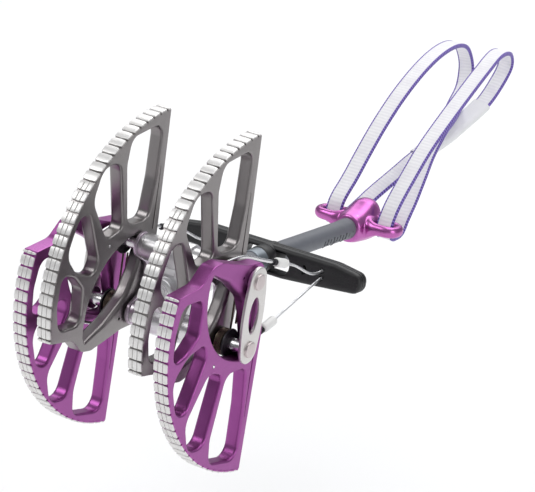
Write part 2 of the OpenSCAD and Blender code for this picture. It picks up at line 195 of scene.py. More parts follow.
def slab(shape, loops, profiles, place, pockets=()):
    """A flat solid. Each profile is (distance out of the material, height), from face to face.

    place turns (x, y, height) into a point. A pocket is (loop, depth), sunk into both faces."""
    ends = ([], [])
    for loop, profile in zip(loops, profiles):
        loop = turned(loop, not ends[0])
        rings = [(pushed(loop, out), height) for out, height in profile]
        base = shape.loft([[place(p.x, p.y, h) for p in ring] for ring, h in rings], caps=False)
        ends[0].append((rings[0][0], base))
        ends[1].append((rings[-1][0], base + len(loop) * (len(rings) - 1)))
    heights = (profiles[0][0][1], profiles[0][-1][1])
    for end, height in zip(ends, heights):
        inward = -1 if height > 0 else 1
        for loop, depth in pockets:
            loop = turned(loop, False)
            steps = [(0, 0), (0.25, 0.12), (0.4, depth * 0.6), (0.55, depth)]
            rings = [[place(p.x, p.y, height + inward * down) for p in pushed(loop, out)]
                     for out, down in steps]
            base = shape.loft(rings, caps=False)
            last = base + len(loop) * (len(rings) - 1)
            shape.faces.append([last + k for k in range(len(loop))])
            shape.inks.append(0)
            end.append((loop, base))
        flat = [[Vector((p.x, p.y, 0)) for p in ring] for ring, first in end]
        index = [first + k for ring, first in end for k in range(len(ring))]
        for face in tessellate_polygon(flat):
            shape.faces.append([index[k] for k in face])
            shape.inks.append(0)


def eased(low, high, edge=0.25):
    """A profile from one face to the other with small rounded edges."""
    return [(-edge, low), (-edge * 0.3, low + edge * 0.3), (0, low + edge),
            (0, high - edge), (-edge * 0.3, high - edge * 0.3), (-edge, high)]


def both_faces(upper):
    """A whole profile from its upper half, which runs from the face to the middle."""
    return [(out, -h) for out, h in upper] + [(out, h) for out, h in upper[::-1]]


def lathe(shape, profile, along, centre=(0, 0, 0), count=64, ink=0, closed=False):
    """Turns (distance along the axis, radius) about the X or Y axis through centre."""
    rings = []
    for at, r in profile:
        ring = [(r * c, r * s) for c, s in unit_circle(count)]
        rings.append([Vector(centre) + (Vector((at, u, v)) if along == "X" else Vector((v, at, u)))
                      for u, v in ring])
    shape.loft(rings, ink, loop=closed)


def smooth(points, steps=6, closed=False):
    """A curve through the points."""
    points = [Vector(p) for p in points]
    n = len(points)
    out = []
    for i in range(n if closed else n - 1):
        around = [points[(i + k) % n] if closed else points[max(0, min(n - 1, i + k))] for k in (-1, 0, 1, 2)]
        a, b, c, d = around
        for k in range(steps):
            t = k / steps
            out.append(0.5 * (2 * b + (c - a) * t + (2 * a - 5 * b + 4 * c - d) * t * t
                              + (3 * b - a - 3 * c + d) * t ** 3))
    return out if closed else out + [points[-1]]


def frames(path, closed=False, side=None):
    """(point, side, up) along a path, carried without twist, or with side kept square to a direction."""
    n = len(path)
    out = []
    carried = None
    for i, at in enumerate(path):
        after = path[(i + 1) % n] if closed else path[min(n - 1, i + 1)]
        before = path[i - 1] if closed else path[max(0, i - 1)]
        ahead = (after - before).normalized()
        if side is not None:
            carried = side
        elif carried is None:
            carried = ahead.orthogonal()
        carried = (carried - ahead * carried.dot(ahead)).normalized()
        out.append((at, carried, ahead.cross(carried)))
    return out


def tube(shape, path, r, count=12, closed=False, radii=None, section=None, side=None):
    """A round tube, or one with a section of (side, up) points, along a path."""
    section = section or unit_circle(count)
    rings = []
    for i, (at, across, up) in enumerate(frames(path, closed, side)):
        size = radii[i] if radii else r
        rings.append([at + across * (u * size) + up * (v * size) for u, v in section])
    shape.loft(rings, loop=closed)


def twisted(shape, path, r, lay, strands):
    """A wire cable: strands laid round the path, one turn in each lay."""
    strand_r = r * 0.42
    lengths = [0]
    for a, b in zip(path, path[1:]):
        lengths.append(lengths[-1] + (b - a).length)
    around = frames(path)
    for s in range(strands):
        route = []
        for (at, across, up), length in zip(around, lengths):
            a = tau * (s / strands + length / lay)
            route.append(at + (across * cos(a) + up * sin(a)) * (r - strand_r))
        tube(shape, route, strand_r, 8)


def resample(path, step):
    """The path with points about a step apart."""
    out = [path[0]]
    left = step
    for a, b in zip(path, path[1:]):
        length = (b - a).length
        at = left
        while at <= length:
            out.append(a + (b - a) * (at / length))
            at += step
        left = at - length
    if (out[-1] - path[-1]).length > step * 0.3:
        out.append(path[-1])
    return out


# ---- materials

class Paint:
    """A node material with one principled shader, built up a few nodes at a time."""

    def __init__(self, name, **values):
        self.material = bpy.data.materials.new(name)
        self.material.use_nodes = True
        self.tree = self.material.node_tree
        self.shader = self.tree.nodes["Principled BSDF"]
        for key, value in values.items():
            self.shader.inputs[key.replace("_", " ")].default_value = value
        self.normal = None

    def node(self, kind, **settings):
        """A new node. A capital letter marks an input, others are the node's own settings."""
        made = self.tree.nodes.new(kind)
        for key, value in settings.items():
            if key[0].isupper():
                made.inputs[key.replace("_", " ")].default_value = value
            else:
                setattr(made, key, value)
        return made

    def feed(self, socket, value):
        if hasattr(value, "is_output"):
            self.tree.links.new(value, socket)
        elif isinstance(value, (int, float)):
            socket.default_value = value
        else:
            socket.default_value = tuple(value) + (1,)

    def where(self, stretch=(1, 1, 1), uv=None):
        """Coordinates in millimetres, on the object or along a named UV map."""
        if uv:
            source = self.node("ShaderNodeUVMap", uv_map=uv).outputs["UV"]
        else:
            source = self.node("ShaderNodeTexCoord").outputs["Object"]
        mapping = self.node("ShaderNodeMapping", Scale=[s if uv else s / MM for s in stretch])
        self.feed(mapping.inputs["Vector"], source)
        return mapping.outputs["Vector"]

    def noise(self, size, detail=3, stretch=(1, 1, 1), roughness=0.55):
        """Noise with blobs about that many millimetres across."""
        made = self.node("ShaderNodeTexNoise", Scale=1 / size, Detail=detail, Roughness=roughness)
        self.feed(made.inputs["Vector"], self.where(stretch))
        return made.outputs["Fac"]

    def wave(self, size, direction, uv=None, bend=0.0):
        """Bands that many millimetres apart."""
        made = self.node("ShaderNodeTexWave", bands_direction=direction, Scale=tau / 20 / size,
                         Distortion=bend)
        self.feed(made.inputs["Vector"], self.where(uv=uv))
        return made.outputs["Fac"]

    def steps(self, value, low, high):
        """0 below low, 1 above high."""
        made = self.node("ShaderNodeMapRange", From_Min=low, From_Max=high)
        self.feed(made.inputs["Value"], value)
        return made.outputs[0]

    def mix(self, a, b, factor):
        made = self.node("ShaderNodeMix", data_type="RGBA")
        self.feed(made.inputs[0], factor)
        self.feed(made.inputs[6], a)
        self.feed(made.inputs[7], b)
        return made.outputs[2]

    def math(self, operation, a, b=0.0):
        made = self.node("ShaderNodeMath", operation=operation)
        self.feed(made.inputs[0], a)
        self.feed(made.inputs[1], b)
        return made.outputs[0]

    def color(self, out):
        self.feed(self.shader.inputs["Base Color"], out)

    def rough(self, value, low, high):
        spread = self.node("ShaderNodeMapRange", To_Min=low, To_Max=high)
        self.feed(spread.inputs["Value"], value)
        self.feed(self.shader.inputs["Roughness"], spread.outputs[0])

    def bump(self, value, depth):
        """A bump that many millimetres deep, over the ones made before."""
        made = self.node("ShaderNodeBump", Distance=depth * MM)
        self.feed(made.inputs["Height"], value)
        if self.normal:
            self.feed(made.inputs["Normal"], self.normal)
        self.normal = made.outputs["Normal"]
        self.feed(self.shader.inputs["Normal"], self.normal)


def shade(color, factor):
    return tuple(min(1.0, c * factor) for c in color)


def srgb(*values):
    """A colour given as 0 to 255 screen values."""
    return tuple(((v / 255 + 0.055) / 1.055) ** 2.4 if v > 10 else v / 255 / 12.92 for v in values)


def metal(name, color, roughness=(0.25, 0.4), grain=0.003, stretch=(1, 1, 1), drift=0.15, wear=0.5,
          bare=None, **values):
    """Bare or anodised metal: slow colour drift, a fine grain, faint marks and edges rubbed lighter."""
    values.setdefault("Metallic", 1.0)
    made = Paint(name, **values)
    base = made.mix(shade(color, 1 - drift), shade(color, 1 + drift), made.noise(7, 2))
    marks = made.steps(made.noise(1.8, 6, roughness=0.7), 0.58, 0.72)
    base = made.mix(base, shade(color, 1.3), made.math("MULTIPLY", marks, 0.4))
    edge = made.steps(made.node("ShaderNodeNewGeometry").outputs["Pointiness"], 0.51, 0.6)
    rubbed = made.math("MULTIPLY", edge, made.steps(made.noise(0.6, 3), 0.3, 0.6))
    base = made.mix(base, bare or shade(color, 1.7), made.math("MULTIPLY", rubbed, wear))
    made.color(base)
    made.rough(made.noise(0.5, 5, stretch), *roughness)
    made.bump(made.noise(0.16, 4, stretch), grain)
    return made.material


CAM_PURPLE = metal("cam_purple", srgb(158, 84, 152), (0.3, 0.45), 0.002, drift=0.06,
                   bare=srgb(212, 128, 204))
CAM_GREY = metal("cam_grey", srgb(140, 136, 136), (0.26, 0.4), 0.002, drift=0.06,
                 bare=srgb(196, 192, 190))
TOOTH = metal("bare_teeth", srgb(232, 230, 228), (0.3, 0.5), 0.006, drift=0.04, Metallic=0.55)
AXLE = metal("axle_steel", srgb(205, 203, 206), (0.18, 0.3), 0.003, (0.2, 1, 1))
RIVET = metal("rivet_face", srgb(206, 196, 196), (0.3, 0.45), 0.004)
PLATE = metal("plate_steel", srgb(214, 211, 209), (0.32, 0.45), 0.003, (1, 1, 0.2), drift=0.05)
INNER_PLATE = metal("inner_plate_steel", srgb(200, 188, 200), (0.32, 0.45), 0.002)
SPACER = metal("spacer_steel", srgb(206, 204, 206), (0.26, 0.38), 0.001)
SPRING = metal("spring_steel", srgb(96, 86, 76), (0.2, 0.38), 0.003, drift=0.3)
FLANGE = metal("flange_black", srgb(52, 50, 54), (0.3, 0.5), 0.003, Metallic=0.6)
TERMINAL = metal("terminal_silver", srgb(222, 221, 223), (0.3, 0.42), 0.001, drift=0.05)
CABLE = metal("cable_steel", srgb(214, 214, 217), (0.24, 0.36), 0.001)
ROD = metal("rod_steel", srgb(214, 214, 216), (0.2, 0.32), 0.002)
COLLAR = metal("collar_black", srgb(48, 48, 52), (0.35, 0.55), 0.004, Metallic=0.3)
THUMB = metal("thumb_purple", srgb(190, 108, 178), (0.26, 0.36), 0.002, drift=0.05,
              bare=srgb(228, 160, 218))


def plastic(name, color, roughness=(0.35, 0.5), grain=0.01, size=0.35, drift=0.12, **values):
    """Moulded plastic or rubber: a fine moulded grain, faint blotches and light scuffs."""
    made = Paint(name, **values)
    base = made.mix(shade(color, 1 - drift), shade(color, 1 + drift), made.noise(5, 4))
    scuff = made.steps(made.noise(1.2, 7, roughness=0.75), 0.6, 0.75)
    made.color(made.mix(base, shade(color, 1.5), made.math("MULTIPLY", scuff, 0.3)))
    made.rough(made.noise(0.9, 5), *roughness)
    made.bump(made.noise(size, 4), grain)
    return made.material


SHEATH = plastic("sheath_grey", srgb(100, 103, 110), (0.42, 0.58), 0.02, 0.3)
SHEATH_TICK = plastic("sheath_marks", srgb(70, 72, 78), (0.4, 0.6))
BAR = plastic("trigger_black", srgb(17, 17, 20), (0.38, 0.52), 0.02, 0.4)
SLEEVE = metal("sleeve_grey", srgb(120, 127, 134), (0.28, 0.42), 0.004, Metallic=0.7)
FERRULE = plastic("ferrule_white", srgb(232, 232, 230), (0.25, 0.4), 0.006, 0.5, 0.04)


# ---- cams

AXLE_Z = 15.55
AXLE_R, AXLE_BORE = 3, 3.02
CABLE_BORE = 2.6
WIRE_X = 30
CAM_HALF = 3.45
CAMS = {"inner": (23.55, 1, CAM_GREY, "cam_grey"), "outer": (36.45, -1, CAM_PURPLE, "cam_purple")}

# The curve of a cam is a spiral about its axle, which meets every radius at the same angle.
CAM_R = 90.1
CAM_ANGLE = radians(13.75)
HEEL_R = CAM_R * exp(-tan(CAM_ANGLE) * radians(93.6))
TIP_R = CAM_R * exp(tan(CAM_ANGLE) * radians(7.3))
RIM_LENGTH = (TIP_R - HEEL_R) / sin(CAM_ANGLE)
FIRST_ROW, ROW_PITCH, ROOT_DEPTH = 2.1, 5.27, 0.95
COLUMNS, GROOVES_END = [(-3.4, -1.27), (-1.03, 1.03), (1.27, 3.4)], 76
TOOTH_TOP = [(0, -0.6), (0, -0.14), (-0.05, -0.04), (-0.14, 0)]
TOOTH_ROOT = [(0.12, -1.15), (0.1, -0.55)]

CAM_BORE, ROD_HOLE, LEG_HOLE = 3.05, (23.9, 34.35), (8.6, -2.5)
BACK_EDGE = [[-11.8, 92.2, 0], [-13.8, 27, 8], [-9.5, 2, 6], [-6.9, -7.3, 5]]
UNDERSIDE = [[6, -8, 20], [28.2, -13.3, 6], [35.2, -12.5, 6], [43.2, -5.5, 8], [60, -4.2, 0]]
WINDOWS = [
    [[-7.7, 86, 6], [16.2, 82, 6], [17.8, 70, 12], [11.4, 41.2, 6], [-5, 41.2, 5], [-7.5, 60, 20]],
    [[22.8, 72.2, 6], [35.6, 71.3, 8], [40.6, 57, 8], [26.4, 37, 6], [14.4, 40.4, 4]],
    [[41.8, 53, 5], [49.8, 50.5, 6], [55.6, 35, 8], [46.4, 25.4, 12], [33, 22, 4], [30.4, 29, 5]],
    [[47, 24.2, 10], [57.4, 27.4, 4], [58.4, 13, 12], [55.4, 0.8, 6], [38.6, 0.8, 5], [39.4, 17.5, 6]],
]
SLOT_R, SLOT_FROM, SLOT_TO = 36, 99, 6
SLOT_INNER = [[-5.2, 36, 4], [-4.6, 29.5, 3], [0.2, 17.5, 20], [5, 7.8, 16], [18, -1.4, 20], [34, -9, 1.2]]
EDGE_IN, EDGE_DEPTH = 0.7, 1.4
HUB_IN, HUB_OUT, HUB_DEPTH = 2.6, 0.15, 1.9
RECESS, RECESS_DEPTH = [[-9.1, 66, 0.6], [-8.7, 36, 0.7], [-10.2, 36, 0.7], [-9.9, 66, 0.5]], 1.2


def rim(s, depth=0.0):
    """A point of the cam curve, a distance along it from the heel and a depth under it."""
    r = HEEL_R + s * sin(CAM_ANGLE)
    a = -log(r / CAM_R) / tan(CAM_ANGLE)
    out = Vector((sin(a), cos(a)))
    along = Vector((cos(a), -sin(a)))
    normal = out * cos(CAM_ANGLE) + along * sin(CAM_ANGLE)
    return out * r - normal * depth


def fillet():
    """The rounded edge of a window."""
    turns = [pi / 8 * k for k in range(5)]
    return both_faces([(-EDGE_IN + sin(t), CAM_HALF - EDGE_DEPTH * (1 - cos(t))) for t in turns])


def hub_fillet():
    """The slot's edge: broadly hollowed on both faces along the hub, and narrow elsewhere."""
    end_x, end_y, fade, arc_r = 33, 31, 8, SLOT_R - 1.5

    def near_hub(at):
        if hypot(at.x, at.y) >= arc_r:
            return 0
        return max(0, min(1, (end_x - at.x) / fade, (end_y - at.y) / fade))

    def step(t):
        plain, hub = -EDGE_IN + sin(t), HUB_OUT - HUB_IN * (1 - sin(t))
        return lambda at: plain + (hub - plain) * near_hub(at)

    turns = [pi / 10 * k for k in range(6)]
    return both_faces([(step(t), CAM_HALF - HUB_DEPTH * (1 - cos(t))) for t in turns])


def cam_placer(group, side):
    """Turns (p, q, x) of a cam's own outline into a place in the frame."""
    centre, up, _, _ = CAMS[group]
    return lambda p, q, x: (side * (centre + x), -p, up * (q - AXLE_Z))


def tooth_outline(s0, s1, x0, x1):
    """The top of a tooth, in (distance along the rim, place across the cam)."""
    def gap(x):
        return 0.36 + 0.34 * abs(x / CAM_HALF) ** 1.6
    count = 5
    across = [x0 + (x1 - x0) * k / count for k in range(count + 1)]
    near = [[s0 + gap(x), x, 0] for x in across]
    far = [[s1 - gap(x), x, 0] for x in across]
    for loop in (near, far):
        for corner in (0, -1):
            loop[corner][2] = 0.5 if abs(loop[corner][1]) > CAM_HALF - 0.3 else 0.12
    return rounded(far + near[::-1], 3)


def cam_plate(put):
    shape = Shape()
    count = 110
    band = [rim(RIM_LENGTH * k / count, ROOT_DEPTH) for k in range(count + 1)]
    edge = rounded([[p.x, p.y, 0] for p in band] + BACK_EDGE[1:] + UNDERSIDE[:-1])
    sweep = [radians(SLOT_FROM - (SLOT_FROM - SLOT_TO) * k / 30) for k in range(31)]
    slot = rounded([[SLOT_R * sin(a), SLOT_R * cos(a), 0] for a in sweep] + SLOT_INNER)
    bores = [circle(0, 0, CAM_BORE), circle(*ROD_HOLE, 0.85, 24), circle(*LEG_HOLE, 0.75, 24)]
    outside = both_faces([(-0.5, CAM_HALF), (-0.15, CAM_HALF - 0.1), (0, 3)])
    slab(shape, [edge] + [rounded(w) for w in WINDOWS] + [slot] + bores,
         [outside] + [fillet()] * len(WINDOWS) + [hub_fillet()]
         + [eased(-CAM_HALF, CAM_HALF, 0.12)] * len(bores),
         put, pockets=[(rounded(RECESS, 4), RECESS_DEPTH)])
    return shape


def cam_teeth(put):
    """The bare tops of a cam's teeth, and the anodised roots under them."""
    def on_rim(s, x, h):
        return put(*rim(s, -h), x)

    tops, roots = Shape(), Shape()
    lines = [0.0]
    while lines[-1] < RIM_LENGTH - ROW_PITCH / 2:
        lines.append(FIRST_ROW + ROW_PITCH * (len(lines) - 1))
    lines[-1] = RIM_LENGTH
    for s0, s1 in zip(lines, lines[1:]):
        for x0, x1 in COLUMNS if s1 < GROOVES_END else [(COLUMNS[0][0], COLUMNS[-1][1])]:
            slab(tops, [tooth_outline(s0, s1, x0, x1)], [TOOTH_TOP], on_rim)
        slab(roots, [tooth_outline(s0, s1, -CAM_HALF, CAM_HALF)], [TOOTH_ROOT], on_rim)
    return tops, roots


def build_cam(name, group, side):
    _, _, anodised, slot = CAMS[group]
    put = cam_placer(group, side)
    body = make(name + "_plate", cam_plate(put))
    weigh_normals(body)
    paint(body, slot, anodised)
    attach(body, name)
    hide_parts(name)

    teeth, roots = cam_teeth(put)
    tops = paint(make(name + "_teeth", teeth), "terminal_silver", TOOTH)
    base = paint(make(name + "_tooth_roots", roots), slot, anodised)
    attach(tops, name)
    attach(base, name)


for side_name, side in SIDES.items():
    for group in CAMS:
        build_cam("cam_" + group + "_" + side_name, group, side)


# ---- head

RIVET_HEAD = [(42.4, 3.7), (43.3, 3.7), (43.55, 3.62), (43.7, 3.45), (43.76, 3.1), (43.8, 1.5), (43.8, 0.05)]
AXLE_HALF, TERMINAL_HALF = 42.5, 9
SLEEVE_R = 4.1
SPRING_WIRE, SPRING_R, SPRING_TURNS = 0.42, 5.72, 5


def build_axles():
    for name, z in (("upper_axle", AXLE_Z), ("lower_axle", -AXLE_Z)):
        bar, rivets = Shape(), Shape()
        lathe(bar, [(-AXLE_HALF, AXLE_R), (AXLE_HALF, AXLE_R)], "X", (0, 0, z))
        for s in (-1, 1):
            lathe(rivets, [(s * x, r) for x, r in RIVET_HEAD], "X", (0, 0, z), 48)
        axle = paint(make(name + "_bar", bar), "axle_steel", AXLE)
        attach(axle, "root")
        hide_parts(name)
        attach(paint(make(name + "_rivets", rivets), "axle_steel", RIVET), "root")


def barrel():
    """The outline of a side plate in (y, z)."""
    end, middle = 6.7, 8.3
    points = []
    bow = (AXLE_Z ** 2 + (middle - end) ** 2) / 2 / (middle - end)
    for k in range(25):
        z = -AXLE_Z + 2 * AXLE_Z * k / 24
        points.append(Vector((sqrt(bow ** 2 - z ** 2) - bow + middle, z)))
    top = [Vector((end * cos(a), AXLE_Z + end * sin(a))) for a in [pi * k / 20 for k in range(1, 20)]]
    right = points + top
    return right + [Vector((-p.x, -p.y)) for p in right]


def inner_plate_outline():
    """An eye round each axle and a link that bends back round the stem, in (y, z)."""
    r = 6.2
    lobe = [Vector((r * cos(a), AXLE_Z + r * sin(a))) for a in [radians(78 + 12 * k) for k in range(13)]]
    front = rounded([[-4.4, 11.2, 0], [5, 6.2, 5], [5, -6.2, 5], [-4.4, -11.2, 0]])[1:-1]
    rear = rounded([[1, -21.5, 0], [13, -8, 5], [13, 8, 5], [1, 21.5, 0]])[1:-1]
    return lobe + front + [Vector((p.x, -p.y)) for p in lobe[::-1]] + rear


def eye(w, h):
    """A pointed oval."""
    return [Vector((w * c * abs(c) ** 0.1, h * s * abs(s) ** 0.05)) for c, s in unit_circle(48)]


def build_plates():
    for side_name, side in SIDES.items():
        for kind, low, high, outline, eyes, bevel, skin in (
                ("side", 41, 42.6, barrel(), [eye(3.9, 8.4)], 0.45, PLATE),
                ("inner", 17.6, 19.2, inner_plate_outline(), [], 0.3, INNER_PLATE)):
            node = side_name + "_" + kind + "_plate"
            shape = Shape()
            holes = eyes + [circle(0, AXLE_Z, AXLE_BORE), circle(0, -AXLE_Z, AXLE_BORE)]
            profile = eased(low, high, bevel)
            slab(shape, [outline] + holes, [profile] * (1 + len(holes)), lambda y, z, x: (side * x, y, z))
            made = paint(make(node + "_sheet", shape), "plate_steel", skin)
            weigh_normals(made)
            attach(made, "root")
            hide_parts(node)


def ring(shape, side, near, far, r, bore, z, edge=0.3):
    """A ring round an axle, from near to far along it on one side."""
    low, high = sorted((side * near, side * far))
    profile = [(low, bore), (low, r - edge), (low + edge, r),
               (high - edge, r), (high, r - edge), (high, bore)]
    lathe(shape, profile, "X", (0, 0, z), 56, closed=True)


def build_spacers():
    for node, z, flange in (("upper", AXLE_Z, (27.15, 28.1)), ("lower", -AXLE_Z, (31.9, 32.85))):
        spacers, sleeves = Shape(), Shape()
        for s in (-1, 1):
            ring(spacers, s, TERMINAL_HALF, 15.4, 6, AXLE_R, z)
            ring(spacers, s, 15.5, 17.6, 5.6, AXLE_R, z)
            ring(sleeves, s, 27.1, 32.9, SLEEVE_R, AXLE_R, z, 0.15)
            ring(sleeves, s, *flange, 6.6, SLEEVE_R, z, 0.2)
        made = paint(make(node + "_spacer_rings", spacers), "plate_steel", SPACER)
        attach(made, "root")
        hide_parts(node + "_spacers")
        made = paint(make(node + "_sleeve_rings", sleeves), "collar_black", FLANGE)
        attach(made, "root")
        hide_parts(node + "_sleeves")
    washers = Shape()
    for s in (-1, 1):
        for z in (-AXLE_Z, AXLE_Z):
            ring(washers, s, 40, 41, 5.4, AXLE_R, z, 0.25)
    made = paint(make("plate_washer_rings", washers), "plate_steel", SPACER)
    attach(made, "root")
    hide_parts("plate_washers")


def build_springs():
    """Each is a coil whose lead runs into its cam, and a long leg that stays with the head."""
    for side_name, side in SIDES.items():
        for group, into, cam_end, plate_end, leg_x in (
                ("inner", 1, 27.95, 31.5, 28.9), ("outer", -1, 32.05, 28.5, 31.1)):
            def put(x, y, z):
                return Vector((side * x, y, into * (z - AXLE_Z)))
            count = SPRING_TURNS * 28
            coil = []
            for k in range(count + 1):
                a = radians(-160) - tau * SPRING_TURNS * k / count
                x = cam_end + (plate_end - cam_end) * k / count
                coil.append(put(x, SPRING_R * cos(a), SPRING_R * sin(a)))
            lead = [put(cam_end - into * x, y, z) for x, y, z in (
                (2.3, -8.6, -2.5), (0.9, -8.6, -2.5), (0.1, -8.3, -2.5), (0, -7.4, -2.3))]
            shape = Shape()
            tube(shape, smooth(lead + coil[1:3], 5) + coil[3:], SPRING_WIRE, 10)
            made = paint(make("coil_" + group + "_" + side_name, shape), "spring_steel", SPRING)
            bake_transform(made)
            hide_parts("spring_" + group + "_" + side_name)
            leg = Shape()
            route = [put(leg_x + into * x, y, z) for x, y, z in (
                (0.5, 3.4, -5.1), (0, 4.9, -3.4), (0, 5.5, -1.2), (0, 5.4, 1.5), (0, 5.3, 6), (0, 5.3, 16),
                (0, 5.3, 23.5))]
            tube(leg, smooth(route, 5), SPRING_WIRE * 1.1, 10)
            made = paint(make("long_leg_" + group + "_" + side_name, leg), "spring_steel", SPRING)
            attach(made, "root")


def terminal_outline():
    """A round lobe about each axle and a waist between them, in (y, z)."""
    r = 7.4
    lower, upper = [
        [[r * cos(radians(a)), s * AXLE_Z + r * sin(radians(a)), 0] for a in range(first, first + 261, 10)]
        for s, first in ((-1, 140), (1, -40))]
    return rounded([[4.6, -6, 3], [4.6, 6, 3]] + upper + [[-7, 8, 3], [-7, -8, 3]] + lower)


def build_terminal():
    shape = Shape()
    bevel = 1.4
    edge = both_faces([(-bevel * (1 - sin(t)), TERMINAL_HALF - bevel * (1 - cos(t)))
                       for t in [pi / 8 * k for k in range(5)]])
    bore = eased(-TERMINAL_HALF, TERMINAL_HALF, 0.3)
    slab(shape, [terminal_outline(), circle(0, AXLE_Z, AXLE_BORE), circle(0, -AXLE_Z, AXLE_BORE)],
         [edge, bore, bore], lambda y, z, x: (x, y, z))
    # boss in front, with the cable's end and turned rings
    lathe(shape, [(-5, 0), (-5, 7.3), (-9.6, 7.2), (-10.6, 6.7), (-11, 5.9), (-11, 5.3), (-10.7, 5.1),
                  (-10.7, 4.7), (-11, 4.5), (-11, 3.9), (-10.7, 3.7), (-10.7, 3.3), (-10.95, 3.1),
                  (-10.95, 0.01)], "Y")
    # socket behind, crimped on the cable
    lathe(shape, [(0, 7.4), (6, 7.3), (8, 6.9), (9.5, 6.9), (10, 7.15), (12, 7.1), (12.4, 6.8), (21, 6.55),
                  (21.5, 6.2), (22.5, 6.2), (23, 6.55), (29.2, 6.3), (30, 5.6), (30, CABLE_BORE),
                  (0, CABLE_BORE)], "Y", closed=True)
    # four round studs on the front
    for s in (-1, 1):
        for z in (-9.5, 9.5):
            lathe(shape, [(-9.2, 0.01), (-9.2, 1.3), (-8.9, 1.6), (-6, 1.6)], "Y", (s * 6.6, 0, z), 24)
    made = paint(make("head_block", shape), "terminal_silver", TERMINAL)
    weigh_normals(made)
    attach(made, "root")
    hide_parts("head_terminal")


# ---- stem

SADDLE = [
    # y, half width, height above the stem's axis and depth below it
    (158, 6.6, 6.6, 6.6), (158.5, 7.0, 7.0, 7.0), (161, 7.5, 7.7, 7.4), (165, 8.0, 8.8, 7.7),
    (169, 8.3, 10.6, 7.9), (172, 8.5, 12.2, 8.0), (175, 8.5, 12.9, 8.0), (177.5, 8.4, 12.8, 7.8),
    (179.2, 7.8, 12.0, 7.1), (180.2, 6.6, 10.6, 5.8), (180.5, 4.6, 8.4, 4.0),
]


def sheath_marks(shape):
    """A row of small raised ticks along the sheath, and a second tick beside every third."""
    r = 5.02
    for i in range(10):
        for row in (0, 1) if i % 3 == 0 else (0,):
            a = radians(-12) - row * 0.5
            centre = Vector((r * cos(a), 128.5 + 3 * i + row * 1.2, r * sin(a)))
            out, up = Vector((cos(a), 0, sin(a))), Vector((-sin(a), 0, cos(a)))
            length = 1.6 if i % 2 else 1.1
            block = []
            for lift, shrink in ((-0.3, 1), (0.1, 1), (0.17, 0.7)):
                along, wide = up * (length * shrink), Vector((0, 0.42 * shrink, 0))
                block.append([centre + out * lift + along * u + wide * v
                              for u, v in ((-1, -1), (1, -1), (1, 1), (-1, 1))])
            shape.loft(block, 1)


def build_stem():
    core = Shape()
    lathe(core, [(-10.5, 2.35), (166, 2.35)], "Y", count=32)
    path = [Vector((0, -10.4 + 176.2 * k / 220, 0)) for k in range(221)]
    twisted(core, path, 2.5, 24, 12)
    made = paint(make("stem_cable_strands", core), "cable_steel", CABLE)
    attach(made, "root")
    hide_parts("stem_cable")

    shape = Shape()
    lathe(shape, [(30.2, CABLE_BORE), (30.2, 4.5), (30.6, 4.9), (31.2, 5), (60, 5), (100, 5), (149, 5),
                  (152, 5.12), (155, 5.26), (158, 5.42), (161, 5.56), (161.7, 5.5), (162, 5.2),
                  (162, CABLE_BORE)], "Y", closed=True)
    sheath_marks(shape)
    made = paint(make("stem_sheath_tube", shape), "sheath_grey", SHEATH, SHEATH_TICK)
    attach(made, "root")
    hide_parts("stem_sheath")

    shape = Shape()
    lathe(shape, [(162.1, CABLE_BORE), (162.1, 4.3), (162.5, 4.55), (168.4, 4.55), (169, 4.2),
                  (169, CABLE_BORE)], "Y", closed=True)
    made = paint(make("stem_ferrule_ring", shape), "terminal_silver", TERMINAL)
    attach(made, "root")
    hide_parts("stem_ferrule")


def saddle_rings():
    """The hub, which swells into an upright saddle behind."""
    count = 64
    # the flat front: the remesh closes the hollow that these rings leave behind it
    rings = [[(r * c, y, r * s) for c, s in unit_circle(count)]
             for y, r in ((158, 5.8), (162.2, 5.8), (162.2, 0.02))]
    for y, wide, high, low in SADDLE:
        power = 1 if y < 160 else 0.84
        rings.append([(wide * copysign(abs(c) ** power, c), y,
                       (high if s > 0 else low) * copysign(abs(s) ** power, s))
                      for c, s in unit_circle(count)])
    return rings


def eye_rings(side):
    """The loop on one side, its rim thicker where it leaves the hub."""
    x0, x1, r = 7.0, 21.7, 4.9
    loop = rounded([[side * x0, 164.0, r], [side * x0, 175.8, r], [side * x1, 175.8, r],
                    [side * x1, 164.4, r]], 10)
    loop = [Vector((p.x, p.y, 2)) for p in turned(loop, True)]
    rings = []
    for at, across, up in frames(resample(loop + loop[:1], 1.0)[:-1], True, Vector((0, 0, 1))):
        root = max(0, min(1, (14.5 - abs(at.x)) / 7))
        thick, wide = 3.0 + 2.8 * root ** 1.5, 2.4 + 0.6 * root
        sink = Vector((0, 0, -1.2 * root))
        rings.append([at + sink + across * (thick * s) + up * (wide * c) for c, s in unit_circle(24)])
    return rings


def build_thumb_piece():
    rough = Shape()
    rough.loft(saddle_rings())
    for s in (-1, 1):
        rough.loft(eye_rings(s), loop=True)
    body = make("thumb_piece_rough", rough)
    remesh = body.modifiers.new("join", "REMESH")
    remesh.mode = "VOXEL"
    remesh.voxel_size = 0.42 * MM
    remesh.use_smooth_shade = True
    soften = body.modifiers.new("soften", "CORRECTIVE_SMOOTH")
    soften.smooth_type = "LENGTH_WEIGHTED"
    soften.factor = 0.5
    soften.iterations = 30
    soften.use_only_smooth = True
    graph = bpy.context.evaluated_depsgraph_get()
    mesh = bpy.data.meshes.new_from_object(body.evaluated_get(graph))
    mesh.name = "thumb_piece_body"
    bpy.data.objects.remove(body)
    mesh.materials.clear()
    mesh.shade_smooth()
    made = paint(add_object("thumb_piece_body", mesh), "thumb_purple", THUMB)
    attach(made, "root")
    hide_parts("thumb_piece")


build_axles()
build_plates()
build_spacers()
build_springs()
build_terminal()
build_stem()
build_thumb_piece()


# ---- trigger

